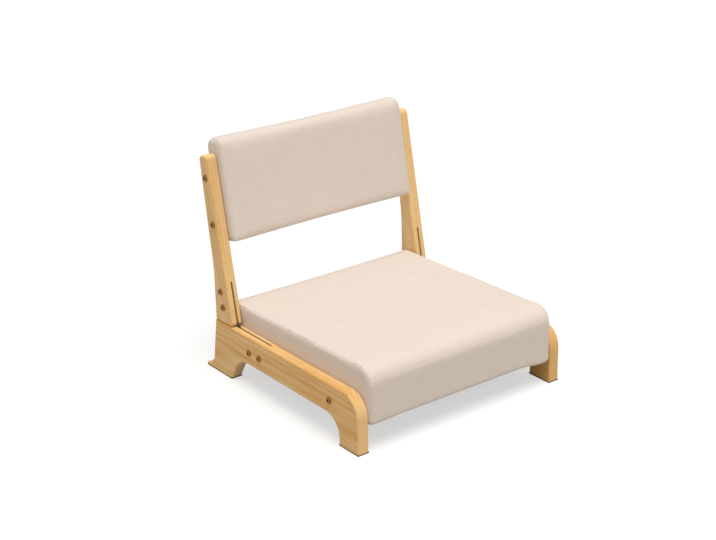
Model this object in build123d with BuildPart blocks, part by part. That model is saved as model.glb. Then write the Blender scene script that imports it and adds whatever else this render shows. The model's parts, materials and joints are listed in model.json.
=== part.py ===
from build123d import *

import os
from math import cos, radians, sin, tan

# A folding floor chair: two wooden side frames hold a padded seat between them, and two
# uprights hold a padded back. Each upright stands on its rail and folds forward on a leaf
# hinge that is let into saw kerfs in both. Left is the side of -X, and the chair faces -Y.
# Lengths are millimetres. "From front" is measured back from the faces of the front legs,
# and heights are measured up from the floor.

os.makedirs("parts", exist_ok=True)

# ------------------------------------------------------------------ wooden side frames
chair_width = 440.0
board_thickness = 22.0
edge_round = 3.0
rail_top = 100.7
rail_depth = 52.8
front_corner_round = 38.0
front_leg_width = 50.5
front_arch_round = 36.0
rear_arch_round = 45.0
rear_arch_slope = 31.0
rear_foot_length = 78.0
rail_end_rake = 9.2
rail_end_margin = 1.0
heel_height = 26.0
toe_reach = 34.5
toe_thickness = 4.0
foot_pad_thickness = 2.0

# ------------------------------------------------------------------ uprights
hinge_from_front = 354.7
back_lean = 11.2
upright_length = 303.0
upright_foot_depth = 52.8
upright_top_depth = 23.0
upright_plumb_height = 91.4
upright_bend_round = 300.0
upright_top_round = 9.0
upright_edge_round = 3.5
upright_heel_round = 5.0
stop_gap = 0.5

# ------------------------------------------------------------------ hinge
hinge_lift = 1.8
kerf_width = 3.4
kerf_from_face = 12.0
leaf_thickness = 1.5
leaf_gap = 0.1
leaf_recess = 2.0
leaf_margin = 9.0
kerf_clearance = 1.0
ear_radius = 6.0
pin_radius = 2.0
pin_clearance = 0.05
rail_bolt_from_hinge = 49.2
rail_bolt_spacing = 30.0
rail_leaf_end = 21.5
upright_screw_height = 33.3
upright_screw_spacing = 28.5
upright_screw_depth = 21.0
upright_leaf_end = 16.5

# ------------------------------------------------------------------ fasteners
bolt_radius = 3.0
bolt_clearance = 0.2
bolt_tip_chamfer = 0.8
bolt_head_radius = 6.0
bolt_head_height = 3.4
bolt_head_rim = 0.8
bolt_head_flat = 2.8
bolt_head_dome = 4.2
socket_across_flats = 4.0
socket_depth = 2.2
bolt_end_margin = 1.0
seat_bolt_from_front = 75.0
hinge_screw_bite = 6.5
insert_radius = 4.5
insert_length = 12.0
insert_play = 0.05

# ------------------------------------------------------------------ seat
side_gap = 0.5
seat_proud = 3.0
seat_from_rail_end = 23.5
seat_drop = 1.0
seat_rear_rise = 36.0
seat_front_rise = 46.2
seat_rear_round = 16.0
seat_front_round = 40.0
seat_lower_round = 7.0
seat_side_round = 6.0
cover_thickness = 1.2
fabric_gap = 0.3
cover_return = 26.0
deck_thickness = 6.0
batten_thickness = 18.0
seat_front_padding = 18.0
dowel_radius = 4.0
dowel_length = 32.0
dowel_in_side = 12.0
dowel_inset = 11.0
dust_cover_thickness = 0.6
dust_cover_inset = 8.0

# ------------------------------------------------------------------ back
back_bottom = 148.8
back_height = 181.0
back_proud = 12.0
back_thickness = 45.0
back_front_round = 16.0
back_rear_round = 18.0
back_lower_round = 6.0
back_side_round = 5.0
back_board_thickness = 15.0
back_board_margin = 8.0
back_bolt_from_front = 11.0
back_bolt_bottom = 33.5
back_bolt_spacing = 81.5

# ------------------------------------------------------------------ places worked out from these
half_width = chair_width / 2
rail_bottom = rail_top - rail_depth
rail_length = hinge_from_front + upright_foot_depth + rail_end_margin
frame_depth = rail_length + toe_reach
foot_front = frame_depth - rear_foot_length
hinge_height = rail_top + hinge_lift

kerf_left = -half_width + kerf_from_face - kerf_width / 2
kerf_middle = kerf_left + kerf_width / 2

cushion_half_width = half_width - board_thickness - side_gap
lining = cover_thickness + fabric_gap
core_half_width = cushion_half_width - lining
seat_bottom = rail_bottom - seat_drop
seat_rear = rail_length - seat_from_rail_end
core_bottom = seat_bottom + lining
core_rear = seat_rear - lining
core_front = seat_front_padding - seat_proud
batten_top = rail_top - deck_thickness
seat_bolt_height = (core_bottom + batten_top) / 2
batten_round = seat_side_round - lining
bolt_length = board_thickness + side_gap + lining + insert_length - bolt_end_margin
hinge_screw_length = kerf_from_face + kerf_width / 2 + hinge_screw_bite

back_top = back_bottom + back_height
board_front = back_bolt_from_front - back_board_thickness / 2
board_rear = back_bolt_from_front + back_board_thickness / 2
board_bottom = back_bottom + back_board_margin
board_top = back_top - back_board_margin

# The origin stands on the floor midway between the seat's front and whatever reaches furthest
# back: the rear toes or the round along the back cushion's top.
lean_cos = cos(radians(back_lean))
lean_sin = sin(radians(back_lean))
back_rear = back_thickness - back_proud
back_reach = (
    hinge_from_front
    + (back_rear - back_rear_round) * lean_cos
    + (back_top - back_rear_round) * lean_sin
    + back_rear_round
)
front_y = -(max(frame_depth, back_reach) - seat_proud) / 2

rail_bolt_places = [hinge_from_front - rail_bolt_from_hinge - i * rail_bolt_spacing for i in range(2)]
screw_places = [upright_screw_height + i * upright_screw_spacing for i in range(2)]
back_bolt_places = [back_bottom + back_bolt_bottom + i * back_bolt_spacing for i in range(2)]


def side_plane(x):
    """The plane at x whose first direction runs back from the front legs and second runs up."""
    return Plane(origin=(x, front_y, 0), x_dir=(0, 1, 0), z_dir=(1, 0, 0))


def back_plane(x):
    """The plane at x that leans with the back: behind the uprights' front faces, and up them."""
    corner = (x, front_y + hinge_from_front, hinge_height)
    return Plane(origin=corner, x_dir=(0, lean_cos, -lean_sin), z_dir=(1, 0, 0))


def corner_at(sketch, point):
    """The corner of a sketch that lies nearest to a point."""
    return sketch.vertices().sort_by_distance(point)[0]


def export_pair(left, name):
    """Write a piece of the left side, and its mirror image as the piece of the right side."""
    with BuildPart() as right:
        mirror(left.part, about=Plane.YZ)
    left.part.label = name + "_left"
    right.part.label = name + "_right"
    export_step(left.part, "parts/" + name + "_left.step")
    export_step(right.part, "parts/" + name + "_right.step")


# ------------------------------------------------------------------ bolts, screws and inserts
def button_bolt(shank_length):
    """A button-head socket bolt: its shank along +Z, its domed head below Z = 0."""
    with BuildPart() as bolt:
        with BuildSketch(Plane.XZ):
            with BuildLine():
                Polyline(
                    (bolt_head_flat, -bolt_head_height),
                    (0, -bolt_head_height),
                    (0, shank_length),
                    (bolt_radius - bolt_tip_chamfer, shank_length),
                    (bolt_radius, shank_length - bolt_tip_chamfer),
                    (bolt_radius, 0),
                    (bolt_head_radius, 0),
                    (bolt_head_radius, -bolt_head_rim),
                )
                RadiusArc(
                    (bolt_head_radius, -bolt_head_rim),
                    (bolt_head_flat, -bolt_head_height),
                    bolt_head_dome,
                )
            make_face()
        revolve(axis=Axis.Z)
        with BuildSketch(Plane.XY.offset(-bolt_head_height)):
            RegularPolygon(socket_across_flats / 2, 6, major_radius=False)
        extrude(amount=socket_depth, mode=Mode.SUBTRACT)
    return bolt.part


cushion_bolt = button_bolt(bolt_length)
hinge_screw = button_bolt(hinge_screw_length)

with BuildPart() as insert:
    with BuildSketch():
        Circle(insert_radius)
        Circle(bolt_radius + insert_play, mode=Mode.SUBTRACT)
    extrude(amount=insert_length)

with BuildPart() as seat_front_bolts:
    with Locations(side_plane(-half_width) * Pos(seat_bolt_from_front, seat_bolt_height)):
        add(cushion_bolt)
    mirror(about=Plane.YZ)
seat_front_bolts.part.label = "seat_front_bolts"
export_step(seat_front_bolts.part, "parts/seat_front_bolts.step")

with BuildPart() as rail_hinge_bolts:
    with Locations([side_plane(-half_width) * Pos(d, seat_bolt_height) for d in rail_bolt_places]):
        add(cushion_bolt)
    mirror(about=Plane.YZ)
rail_hinge_bolts.part.label = "rail_hinge_bolts"
export_step(rail_hinge_bolts.part, "parts/rail_hinge_bolts.step")

with BuildPart() as upright_hinge_screws:
    with Locations([back_plane(-half_width) * Pos(upright_screw_depth, h) for h in screw_places]):
        add(hinge_screw)
    mirror(about=Plane.YZ)
upright_hinge_screws.part.label = "upright_hinge_screws"
export_step(upright_hinge_screws.part, "parts/upright_hinge_screws.step")

with BuildPart() as back_board_bolts:
    with Locations([back_plane(-half_width) * Pos(back_bolt_from_front, h) for h in back_bolt_places]):
        add(cushion_bolt)
    mirror(about=Plane.YZ)
back_board_bolts.part.label = "back_board_bolts"
export_step(back_board_bolts.part, "parts/back_board_bolts.step")

with BuildPart() as seat_front_inserts:
    with Locations(side_plane(-core_half_width) * Pos(seat_bolt_from_front, seat_bolt_height)):
        add(insert.part)
    mirror(about=Plane.YZ)
seat_front_inserts.part.label = "seat_front_inserts"
export_step(seat_front_inserts.part, "parts/seat_front_inserts.step")

with BuildPart() as rail_hinge_inserts:
    with Locations([side_plane(-core_half_width) * Pos(d, seat_bolt_height) for d in rail_bolt_places]):
        add(insert.part)
    mirror(about=Plane.YZ)
rail_hinge_inserts.part.label = "rail_hinge_inserts"
export_step(rail_hinge_inserts.part, "parts/rail_hinge_inserts.step")

with BuildPart() as back_board_inserts:
    with Locations([back_plane(-core_half_width) * Pos(back_bolt_from_front, h) for h in back_bolt_places]):
        add(insert.part)
    mirror(about=Plane.YZ)
back_board_inserts.part.label = "back_board_inserts"
export_step(back_board_inserts.part, "parts/back_board_inserts.step")

# ------------------------------------------------------------------ side frames
heel_back = rail_length + (rail_top - heel_height) * tan(radians(rail_end_rake))
arch_back = foot_front - (rail_bottom - foot_pad_thickness) * tan(radians(rear_arch_slope))
rail_leaf_front = rail_bolt_places[-1] - rail_leaf_end
rail_leaf_bottom = seat_bolt_height - leaf_margin
kerf_rear = hinge_from_front + ear_radius + kerf_clearance

with BuildPart() as side_frame:
    with BuildSketch(side_plane(-half_width)) as frame_outline:
        with BuildLine():
            Polyline(
                (frame_depth, foot_pad_thickness + toe_thickness),
                (frame_depth, foot_pad_thickness),
                (foot_front, foot_pad_thickness),
                (arch_back, rail_bottom),
                (front_leg_width, rail_bottom),
                (front_leg_width, foot_pad_thickness),
                (0, foot_pad_thickness),
                (0, rail_top),
                (rail_length, rail_top),
                (heel_back, heel_height),
            )
            TangentArc(
                (heel_back, heel_height),
                (frame_depth, foot_pad_thickness + toe_thickness),
                tangent=(sin(radians(rail_end_rake)), -cos(radians(rail_end_rake))),
            )
        make_face()
        fillet(corner_at(frame_outline, (0, rail_top)), front_corner_round)
        fillet(corner_at(frame_outline, (front_leg_width, rail_bottom)), front_arch_round)
        fillet(corner_at(frame_outline, (arch_back, rail_bottom)), rear_arch_round)
    extrude(amount=board_thickness)
    rims = side_frame.faces().filter_by(Axis.X).edges()
    fillet(rims.filter_by(lambda edge: edge.center().Z > foot_pad_thickness + toe_thickness), edge_round)
    with BuildSketch(side_plane(kerf_left)):
        with BuildLine():
            Polyline(
                (rail_leaf_front - kerf_clearance, rail_top + edge_round),
                (rail_leaf_front - kerf_clearance, rail_leaf_bottom - kerf_clearance),
                (kerf_rear, rail_leaf_bottom - kerf_clearance),
                (kerf_rear, rail_top + edge_round),
                close=True,
            )
        make_face()
    extrude(amount=kerf_width, mode=Mode.SUBTRACT)
    with BuildSketch(side_plane(-half_width)):
        with Locations([(d, seat_bolt_height) for d in [seat_bolt_from_front] + rail_bolt_places]):
            Circle(bolt_radius + bolt_clearance)
    extrude(amount=board_thickness, mode=Mode.SUBTRACT)
export_pair(side_frame, "side_frame")

# ------------------------------------------------------------------ foot pads
with BuildPart() as foot_pad_front:
    with BuildSketch(side_plane(-half_width)):
        with BuildLine():
            Polyline(
                (0, 0),
                (front_leg_width, 0),
                (front_leg_width, foot_pad_thickness),
                (0, foot_pad_thickness),
                close=True,
            )
        make_face()
    extrude(amount=board_thickness)
export_pair(foot_pad_front, "foot_pad_front")

with BuildPart() as foot_pad_rear:
    with BuildSketch(side_plane(-half_width)):
        with BuildLine():
            Polyline(
                (foot_front, 0),
                (frame_depth, 0),
                (frame_depth, foot_pad_thickness),
                (foot_front, foot_pad_thickness),
                close=True,
            )
        make_face()
    extrude(amount=board_thickness)
export_pair(foot_pad_rear, "foot_pad_rear")

# ------------------------------------------------------------------ uprights
# The foot slopes down from the pin to its rear corner, which is what stands on the rail.
foot_drop = hinge_lift - stop_gap
foot_corner = (
    upright_foot_depth * lean_cos + foot_drop * lean_sin,
    upright_foot_depth * lean_sin - foot_drop * lean_cos,
)
bend_corner = (
    upright_foot_depth * lean_cos - upright_plumb_height * lean_sin,
    upright_foot_depth * lean_sin + upright_plumb_height * lean_cos,
)
upright_leaf_top = screw_places[-1] + upright_leaf_end
upright_leaf_depth = upright_screw_depth + leaf_margin

with BuildPart() as upright:
    with BuildSketch(back_plane(-half_width)) as upright_outline:
        with BuildLine():
            Polyline(
                (0, 0),
                foot_corner,
                bend_corner,
                (upright_top_depth, upright_length),
                (0, upright_length),
                close=True,
            )
        make_face()
        fillet(corner_at(upright_outline, (0, 0)), upright_heel_round)
        fillet(corner_at(upright_outline, bend_corner), upright_bend_round)
        fillet(corner_at(upright_outline, (0, upright_length)), upright_top_round)
        fillet(corner_at(upright_outline, (upright_top_depth, upright_length)), upright_top_round)
    extrude(amount=board_thickness)
    fillet(upright.faces().filter_by(Axis.X).edges(), upright_edge_round)
    with BuildSketch(back_plane(kerf_left)):
        with BuildLine():
            Polyline(
                (-edge_round, -upright_foot_depth),
                (upright_leaf_depth + kerf_clearance, -upright_foot_depth),
                (upright_leaf_depth + kerf_clearance, upright_leaf_top + kerf_clearance),
                (-edge_round, upright_leaf_top + kerf_clearance),
                close=True,
            )
        make_face()
    extrude(amount=kerf_width, mode=Mode.SUBTRACT)
    with BuildSketch(back_plane(-half_width)):
        with Locations([(back_bolt_from_front, h) for h in back_bolt_places]):
            Circle(bolt_radius + bolt_clearance)
    extrude(amount=board_thickness, mode=Mode.SUBTRACT)
    with BuildSketch(back_plane(-half_width)):
        with Locations([(upright_screw_depth, h) for h in screw_places]):
            Circle(bolt_radius + insert_play)
    extrude(amount=hinge_screw_length + bolt_clearance, mode=Mode.SUBTRACT)
export_pair(upright, "upright")

# ------------------------------------------------------------------ hinges
# Two flat leaves stand in the kerfs side by side, and their ears lap at the pin.
with BuildPart() as hinge_base_leaf:
    with BuildSketch(side_plane(kerf_middle + leaf_gap / 2)):
        with BuildLine():
            Polyline(
                (rail_leaf_front, rail_leaf_bottom),
                (hinge_from_front, rail_leaf_bottom),
                (hinge_from_front, rail_top - leaf_recess),
                (rail_leaf_front, rail_top - leaf_recess),
                close=True,
            )
        make_face()
        with Locations((hinge_from_front, hinge_height)):
            Circle(ear_radius)
            Circle(pin_radius, mode=Mode.SUBTRACT)
        with Locations([(d, seat_bolt_height) for d in rail_bolt_places]):
            Circle(bolt_radius + bolt_clearance, mode=Mode.SUBTRACT)
    extrude(amount=leaf_thickness)
export_pair(hinge_base_leaf, "hinge_base_leaf")

with BuildPart() as hinge_back_leaf:
    with BuildSketch(back_plane(kerf_middle - leaf_gap / 2 - leaf_thickness)):
        with BuildLine():
            Polyline(
                (leaf_recess, stop_gap),
                (upright_leaf_depth, leaf_recess + upright_leaf_depth * tan(radians(back_lean))),
                (upright_leaf_depth, upright_leaf_top),
                (leaf_recess, upright_leaf_top),
                close=True,
            )
        make_face()
        Circle(ear_radius)
        Circle(pin_radius + pin_clearance, mode=Mode.SUBTRACT)
        with Locations([(upright_screw_depth, h) for h in screw_places]):
            Circle(bolt_radius + bolt_clearance, mode=Mode.SUBTRACT)
    extrude(amount=leaf_thickness)
export_pair(hinge_back_leaf, "hinge_back_leaf")

with BuildPart() as hinge_pin:
    with BuildSketch(side_plane(kerf_middle)):
        with Locations((hinge_from_front, hinge_height)):
            Circle(pin_radius)
    extrude(amount=leaf_thickness + leaf_gap / 2, both=True)
export_pair(hinge_pin, "hinge_pin")


# ------------------------------------------------------------------ seat
def seat_form(inset):
    """The seat cushion's outer form, made smaller all round by the inset."""
    front = inset - seat_proud
    rear = seat_rear - inset
    bottom = seat_bottom + inset
    rear_top = rail_top + seat_rear_rise - inset
    front_top = rail_top + seat_front_rise - inset
    with BuildPart() as form:
        with BuildSketch(side_plane(0)) as outline:
            with BuildLine():
                Polyline(
                    (front, bottom),
                    (rear, bottom),
                    (rear, rear_top),
                    (front, front_top),
                    close=True,
                )
            make_face()
            fillet(corner_at(outline, (front, bottom)), seat_lower_round - inset)
            fillet(corner_at(outline, (rear, rear_top)), seat_rear_round - inset)
            fillet(corner_at(outline, (front, front_top)), seat_front_round - inset)
        extrude(amount=cushion_half_width - inset, both=True)
        fillet(form.faces().filter_by(Axis.X).edges(), seat_side_round - inset)
    return form.part


seat_outside = seat_form(0)
seat_inside = seat_form(cover_thickness)
seat_padding = seat_form(lining)

with BuildPart() as seat_cover:
    add(seat_outside)
    add(seat_inside, mode=Mode.SUBTRACT)
    with BuildSketch(Plane((0, front_y, seat_bottom))):
        with BuildLine():
            Polyline(
                (cover_return - cushion_half_width, core_front + cover_return),
                (cushion_half_width - cover_return, core_front + cover_return),
                (cushion_half_width - cover_return, seat_rear - cover_return),
                (cover_return - cushion_half_width, seat_rear - cover_return),
                close=True,
            )
        make_face()
    extrude(amount=lining, mode=Mode.SUBTRACT)
    with BuildSketch(side_plane(-half_width)):
        with Locations([(d, seat_bolt_height) for d in [seat_bolt_from_front] + rail_bolt_places]):
            Circle(bolt_radius + bolt_clearance)
    extrude(amount=chair_width, mode=Mode.SUBTRACT)
seat_cover.part.label = "seat_cover"
export_step(seat_cover.part, "parts/seat_cover.step")

with BuildPart() as seat_foam:
    add(seat_padding)
    with BuildSketch(side_plane(0)):
        with BuildLine():
            Polyline(
                (core_front, seat_bottom),
                (seat_rear, seat_bottom),
                (seat_rear, rail_top),
                (core_front, rail_top),
                close=True,
            )
        make_face()
    extrude(amount=half_width, both=True, mode=Mode.SUBTRACT)
seat_foam.part.label = "seat_foam"
export_step(seat_foam.part, "parts/seat_foam.step")

with BuildPart() as seat_deck:
    with BuildSketch(Plane((0, front_y, batten_top))):
        with BuildLine():
            Polyline(
                (-core_half_width, core_front),
                (core_half_width, core_front),
                (core_half_width, core_rear),
                (-core_half_width, core_rear),
                close=True,
            )
        make_face()
    extrude(amount=deck_thickness)
    rear_corners = seat_deck.edges().filter_by(Axis.Z).group_by(Axis.Y)[-1]
    fillet(rear_corners, batten_round)
seat_deck.part.label = "seat_deck"
export_step(seat_deck.part, "parts/seat_deck.step")

dowel_heights = [core_bottom + dowel_inset, batten_top - dowel_inset]
batten_middles = [core_front + batten_thickness / 2, core_rear - batten_thickness / 2]
dowel_places = [(d, h) for d in batten_middles for h in dowel_heights]
batten_inside = core_half_width - batten_thickness

with BuildPart() as seat_side_batten:
    with BuildSketch(side_plane(-core_half_width)):
        with BuildLine():
            Polyline(
                (core_front, core_bottom),
                (core_rear, core_bottom),
                (core_rear, batten_top),
                (core_front, batten_top),
                close=True,
            )
        make_face()
    extrude(amount=batten_thickness)
    outer_rims = seat_side_batten.faces().sort_by(Axis.X)[0].edges()
    fillet(outer_rims.sort_by(Axis.Z)[0], batten_round)
    outer_uprights = seat_side_batten.edges().filter_by(Axis.Z).group_by(Axis.X)[0]
    fillet(outer_uprights.sort_by(Axis.Y)[-1], batten_round)
    with BuildSketch(side_plane(-core_half_width)):
        with Locations([(d, seat_bolt_height) for d in [seat_bolt_from_front] + rail_bolt_places]):
            Circle(insert_radius + insert_play)
    extrude(amount=insert_length + insert_play, mode=Mode.SUBTRACT)
    with BuildSketch(side_plane(-batten_inside)):
        with Locations(dowel_places):
            Circle(dowel_radius + insert_play)
    extrude(amount=-dowel_in_side, mode=Mode.SUBTRACT)
export_pair(seat_side_batten, "seat_side_batten")


def cross_batten(start):
    """A batten between the side battens, its front face at the given distance from the front."""
    with BuildPart() as batten:
        with BuildSketch(Plane((0, front_y, core_bottom))):
            with BuildLine():
                Polyline(
                    (-batten_inside, start),
                    (batten_inside, start),
                    (batten_inside, start + batten_thickness),
                    (-batten_inside, start + batten_thickness),
                    close=True,
                )
            make_face()
        extrude(amount=batten_top - core_bottom)
        with BuildSketch(side_plane(-batten_inside)):
            with Locations([(start + batten_thickness / 2, h) for h in dowel_heights]):
                Circle(dowel_radius + insert_play)
        extrude(amount=dowel_length - dowel_in_side, mode=Mode.SUBTRACT)
        with BuildSketch(side_plane(batten_inside)):
            with Locations([(start + batten_thickness / 2, h) for h in dowel_heights]):
                Circle(dowel_radius + insert_play)
        extrude(amount=dowel_in_side - dowel_length, mode=Mode.SUBTRACT)
    return batten.part


with BuildPart() as seat_front_batten:
    add(cross_batten(core_front))
seat_front_batten.part.label = "seat_front_batten"
export_step(seat_front_batten.part, "parts/seat_front_batten.step")

with BuildPart() as seat_rear_batten:
    add(cross_batten(core_rear - batten_thickness))
seat_rear_batten.part.label = "seat_rear_batten"
export_step(seat_rear_batten.part, "parts/seat_rear_batten.step")

with BuildPart() as seat_frame_dowels:
    with BuildSketch(side_plane(-batten_inside - dowel_in_side)):
        with Locations(dowel_places):
            Circle(dowel_radius)
    extrude(amount=dowel_length)
    mirror(about=Plane.YZ)
seat_frame_dowels.part.label = "seat_frame_dowels"
export_step(seat_frame_dowels.part, "parts/seat_frame_dowels.step")

with BuildPart() as seat_dust_cover:
    with BuildSketch(Plane((0, front_y, seat_bottom))):
        with BuildLine():
            Polyline(
                (dust_cover_inset - cushion_half_width, core_front + dust_cover_inset),
                (cushion_half_width - dust_cover_inset, core_front + dust_cover_inset),
                (cushion_half_width - dust_cover_inset, seat_rear - dust_cover_inset),
                (dust_cover_inset - cushion_half_width, seat_rear - dust_cover_inset),
                close=True,
            )
        make_face()
    extrude(amount=-dust_cover_thickness)
seat_dust_cover.part.label = "seat_dust_cover"
export_step(seat_dust_cover.part, "parts/seat_dust_cover.step")


# ------------------------------------------------------------------ back
def back_form(inset):
    """The back cushion's outer form, made smaller all round by the inset."""
    front = inset - back_proud
    rear = back_rear - inset
    bottom = back_bottom + inset
    top = back_top - inset
    with BuildPart() as form:
        with BuildSketch(back_plane(0)) as outline:
            with BuildLine():
                Polyline((front, bottom), (rear, bottom), (rear, top), (front, top), close=True)
            make_face()
            fillet(corner_at(outline, (front, bottom)), back_lower_round - inset)
            fillet(corner_at(outline, (rear, bottom)), back_lower_round - inset)
            fillet(corner_at(outline, (rear, top)), back_rear_round - inset)
            fillet(corner_at(outline, (front, top)), back_front_round - inset)
        extrude(amount=cushion_half_width - inset, both=True)
        fillet(form.faces().filter_by(Axis.X).edges(), back_side_round - inset)
    return form.part


back_outside = back_form(0)
back_inside = back_form(cover_thickness)
back_padding = back_form(lining)

with BuildPart() as back_cover:
    add(back_outside)
    add(back_inside, mode=Mode.SUBTRACT)
    with BuildSketch(back_plane(-half_width)):
        with Locations([(back_bolt_from_front, h) for h in back_bolt_places]):
            Circle(bolt_radius + bolt_clearance)
    extrude(amount=chair_width, mode=Mode.SUBTRACT)
back_cover.part.label = "back_cover"
export_step(back_cover.part, "parts/back_cover.step")

with BuildPart() as back_board:
    with BuildSketch(back_plane(-core_half_width)):
        with BuildLine():
            Polyline(
                (board_front, board_bottom),
                (board_rear, board_bottom),
                (board_rear, board_top),
                (board_front, board_top),
                close=True,
            )
        make_face()
    extrude(amount=2 * core_half_width)
    board_blank = back_board.part
    with BuildSketch(back_plane(-core_half_width)):
        with Locations([(back_bolt_from_front, h) for h in back_bolt_places]):
            Circle(insert_radius + insert_play)
    extrude(amount=insert_length + insert_play, mode=Mode.SUBTRACT)
    with BuildSketch(back_plane(core_half_width)):
        with Locations([(back_bolt_from_front, h) for h in back_bolt_places]):
            Circle(insert_radius + insert_play)
    extrude(amount=-insert_length - insert_play, mode=Mode.SUBTRACT)
back_board.part.label = "back_board"
export_step(back_board.part, "parts/back_board.step")

with BuildPart() as back_foam_front:
    add(back_padding)
    add(board_blank, mode=Mode.SUBTRACT)
    with BuildSketch(back_plane(0)):
        with BuildLine():
            Polyline(
                (board_rear, back_bottom),
                (back_thickness, back_bottom),
                (back_thickness, back_top),
                (board_rear, back_top),
                close=True,
            )
        make_face()
    extrude(amount=half_width, both=True, mode=Mode.SUBTRACT)
back_foam_front.part.label = "back_foam_front"
export_step(back_foam_front.part, "parts/back_foam_front.step")

with BuildPart() as back_foam_rear:
    add(back_padding)
    with BuildSketch(back_plane(0)):
        with BuildLine():
            Polyline(
                (board_rear, back_bottom),
                (-back_thickness, back_bottom),
                (-back_thickness, back_top),
                (board_rear, back_top),
                close=True,
            )
        make_face()
    extrude(amount=half_width, both=True, mode=Mode.SUBTRACT)
back_foam_rear.part.label = "back_foam_rear"
export_step(back_foam_rear.part, "parts/back_foam_rear.step")
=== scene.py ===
import json
from math import cos, pi, radians, sin, tanh

import bmesh
import bpy
from mathutils import Euler, Matrix, Vector


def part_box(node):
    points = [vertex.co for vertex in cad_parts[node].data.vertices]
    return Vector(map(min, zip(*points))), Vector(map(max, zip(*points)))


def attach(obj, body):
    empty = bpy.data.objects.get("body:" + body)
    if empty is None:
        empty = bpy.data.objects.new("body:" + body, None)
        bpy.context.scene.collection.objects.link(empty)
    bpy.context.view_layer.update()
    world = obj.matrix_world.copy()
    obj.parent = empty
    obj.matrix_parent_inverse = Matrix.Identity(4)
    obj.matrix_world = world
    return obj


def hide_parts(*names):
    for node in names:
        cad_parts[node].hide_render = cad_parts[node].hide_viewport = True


# A folding floor chair: oiled wooden side frames and uprights, a padded seat and a padded back in
# a fine woven cover, bronze screws, and steel leaf hinges in saw kerfs. The frame is loaded first,
# so that the defaults below can come from it. Left is the side of -X, and the chair faces -Y.
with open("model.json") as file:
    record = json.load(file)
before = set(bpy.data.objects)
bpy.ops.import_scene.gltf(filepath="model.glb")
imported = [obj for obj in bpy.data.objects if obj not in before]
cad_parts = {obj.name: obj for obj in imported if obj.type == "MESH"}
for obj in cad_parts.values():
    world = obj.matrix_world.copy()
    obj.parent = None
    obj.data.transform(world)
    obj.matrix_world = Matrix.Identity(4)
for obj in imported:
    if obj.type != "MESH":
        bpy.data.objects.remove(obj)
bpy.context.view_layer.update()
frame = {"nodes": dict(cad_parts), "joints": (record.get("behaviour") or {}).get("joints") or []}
seat_low, seat_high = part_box("seat_cover")
_, back_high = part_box("back_cover")
dust_low, dust_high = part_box("seat_dust_cover")
rail_low, rail_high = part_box("side_frame_left")
hinge_place = Vector(frame["joints"][0]["pos_m"])
nodes = frame["nodes"]

bl_info = {
    "name": "Folding Floor Chair",
    "version": (1, 0, 0),
    "blender": (4, 5, 0),
    "location": "3D View > Sidebar > Floor Chair",
    "description": "Dresses the frame of a folding floor chair: cushions, wood, screws and studio",
    "category": "Object",
}


def linear(hex_code):
    """The linear colour of an sRGB hex code."""
    channels = [int(hex_code[i:i + 2], 16) / 255 for i in (1, 3, 5)]
    return [c / 12.92 if c <= 0.04045 else ((c + 0.055) / 1.055) ** 2.4 for c in channels]


def colour(name, description, hex_code):
    """A colour that a user would change."""
    return bpy.props.FloatVectorProperty(
        name=name, description=description, subtype="COLOR", size=4, min=0, max=1,
        default=(*linear(hex_code), 1.0),
    )


def length(name, description, metres):
    """A length that a user would change."""
    return bpy.props.FloatProperty(
        name=name, description=description, unit="LENGTH", precision=4, default=metres
    )


def angle(name, description, degrees):
    """An angle that a user would change."""
    return bpy.props.FloatProperty(
        name=name, description=description, subtype="ANGLE", default=radians(degrees)
    )


def amount(name, description, value):
    """A plain number that a user would change."""
    return bpy.props.FloatProperty(name=name, description=description, default=value)


# ------------------------------------------------------------------ what a user would change
class FloorChairCushions(bpy.types.PropertyGroup):
    """Sizes of the seat and back cushions"""

    lean: angle("Back lean", "How far the back leans from upright", 11.2)
    seat_front_height: length("Seat front height", "Top of the seat at its front edge", 0.1452)
    seat_rear_height: length("Seat rear height", "Top of the seat at its rear edge", 0.1352)
    seat_front_round: length("Seat front round", "Round of the seat's front top edge", 0.029)
    seat_rear_round: length("Seat rear round", "Round of the seat's rear top edge", 0.018)
    seat_overhang: length("Seat overhang", "How far the seat passes the solid one behind", 0.015)
    seat_lower_round: length("Seat lower round", "Round of the seat's front bottom edge", 0.006)
    seat_side_round: length("Seat side round", "Round of the seat's side edges", 0.005)
    corner_drop: length("Corner drop", "How far the seat's front lower corners hang", 0.0055)
    back_height: length("Back height", "Height of the back cushion along its lean", 0.1828)
    back_thickness: length("Back thickness", "Thickness of the back cushion", 0.045)
    back_proud: length("Back proud", "How far the back stands in front of the uprights", 0.012)
    back_bottom: length("Back bottom", "From the hinge up to the back cushion", 0.1463)
    back_front_round: length("Back front round", "Round of the back's front top edge", 0.016)
    back_rear_round: length("Back rear round", "Round of the back's rear top edge", 0.018)
    back_lower_round: length("Back lower round", "Round of the back's bottom edges", 0.005)
    back_side_round: length("Back side round", "Round of the back's side edges", 0.0075)
    back_corner_round: length(
        "Back corner round", "Round of the back's upper corners, seen from in front", 0.007
    )
    voxel: length("Voxel", "Mesh size of the padding as it is simulated", 0.0045)
    swell: length("Swell", "Furthest that a cover swells over its foam", 0.0030)
    side_gap: length("Side gap", "Air between a cushion and the wood beside it", 0.0003)
    tuck: length("Tuck", "How far the seat's sides draw in above the rails", 0.0009)
    seam_inset: length("Seam inset", "From the cushion's side to its seam", 0.0020)
    seam_half_width: length("Seam half width", "Half the width of the seam's groove", 0.0009)
    seam_depth: length("Seam depth", "Depth of the seam's groove", 0.0008)
    pressure: amount("Pressure", "Air pressure that stands for the foam's push", 4.0)
    stiffness: amount("Stiffness", "How much the cover resists creasing", 6.0)


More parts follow.
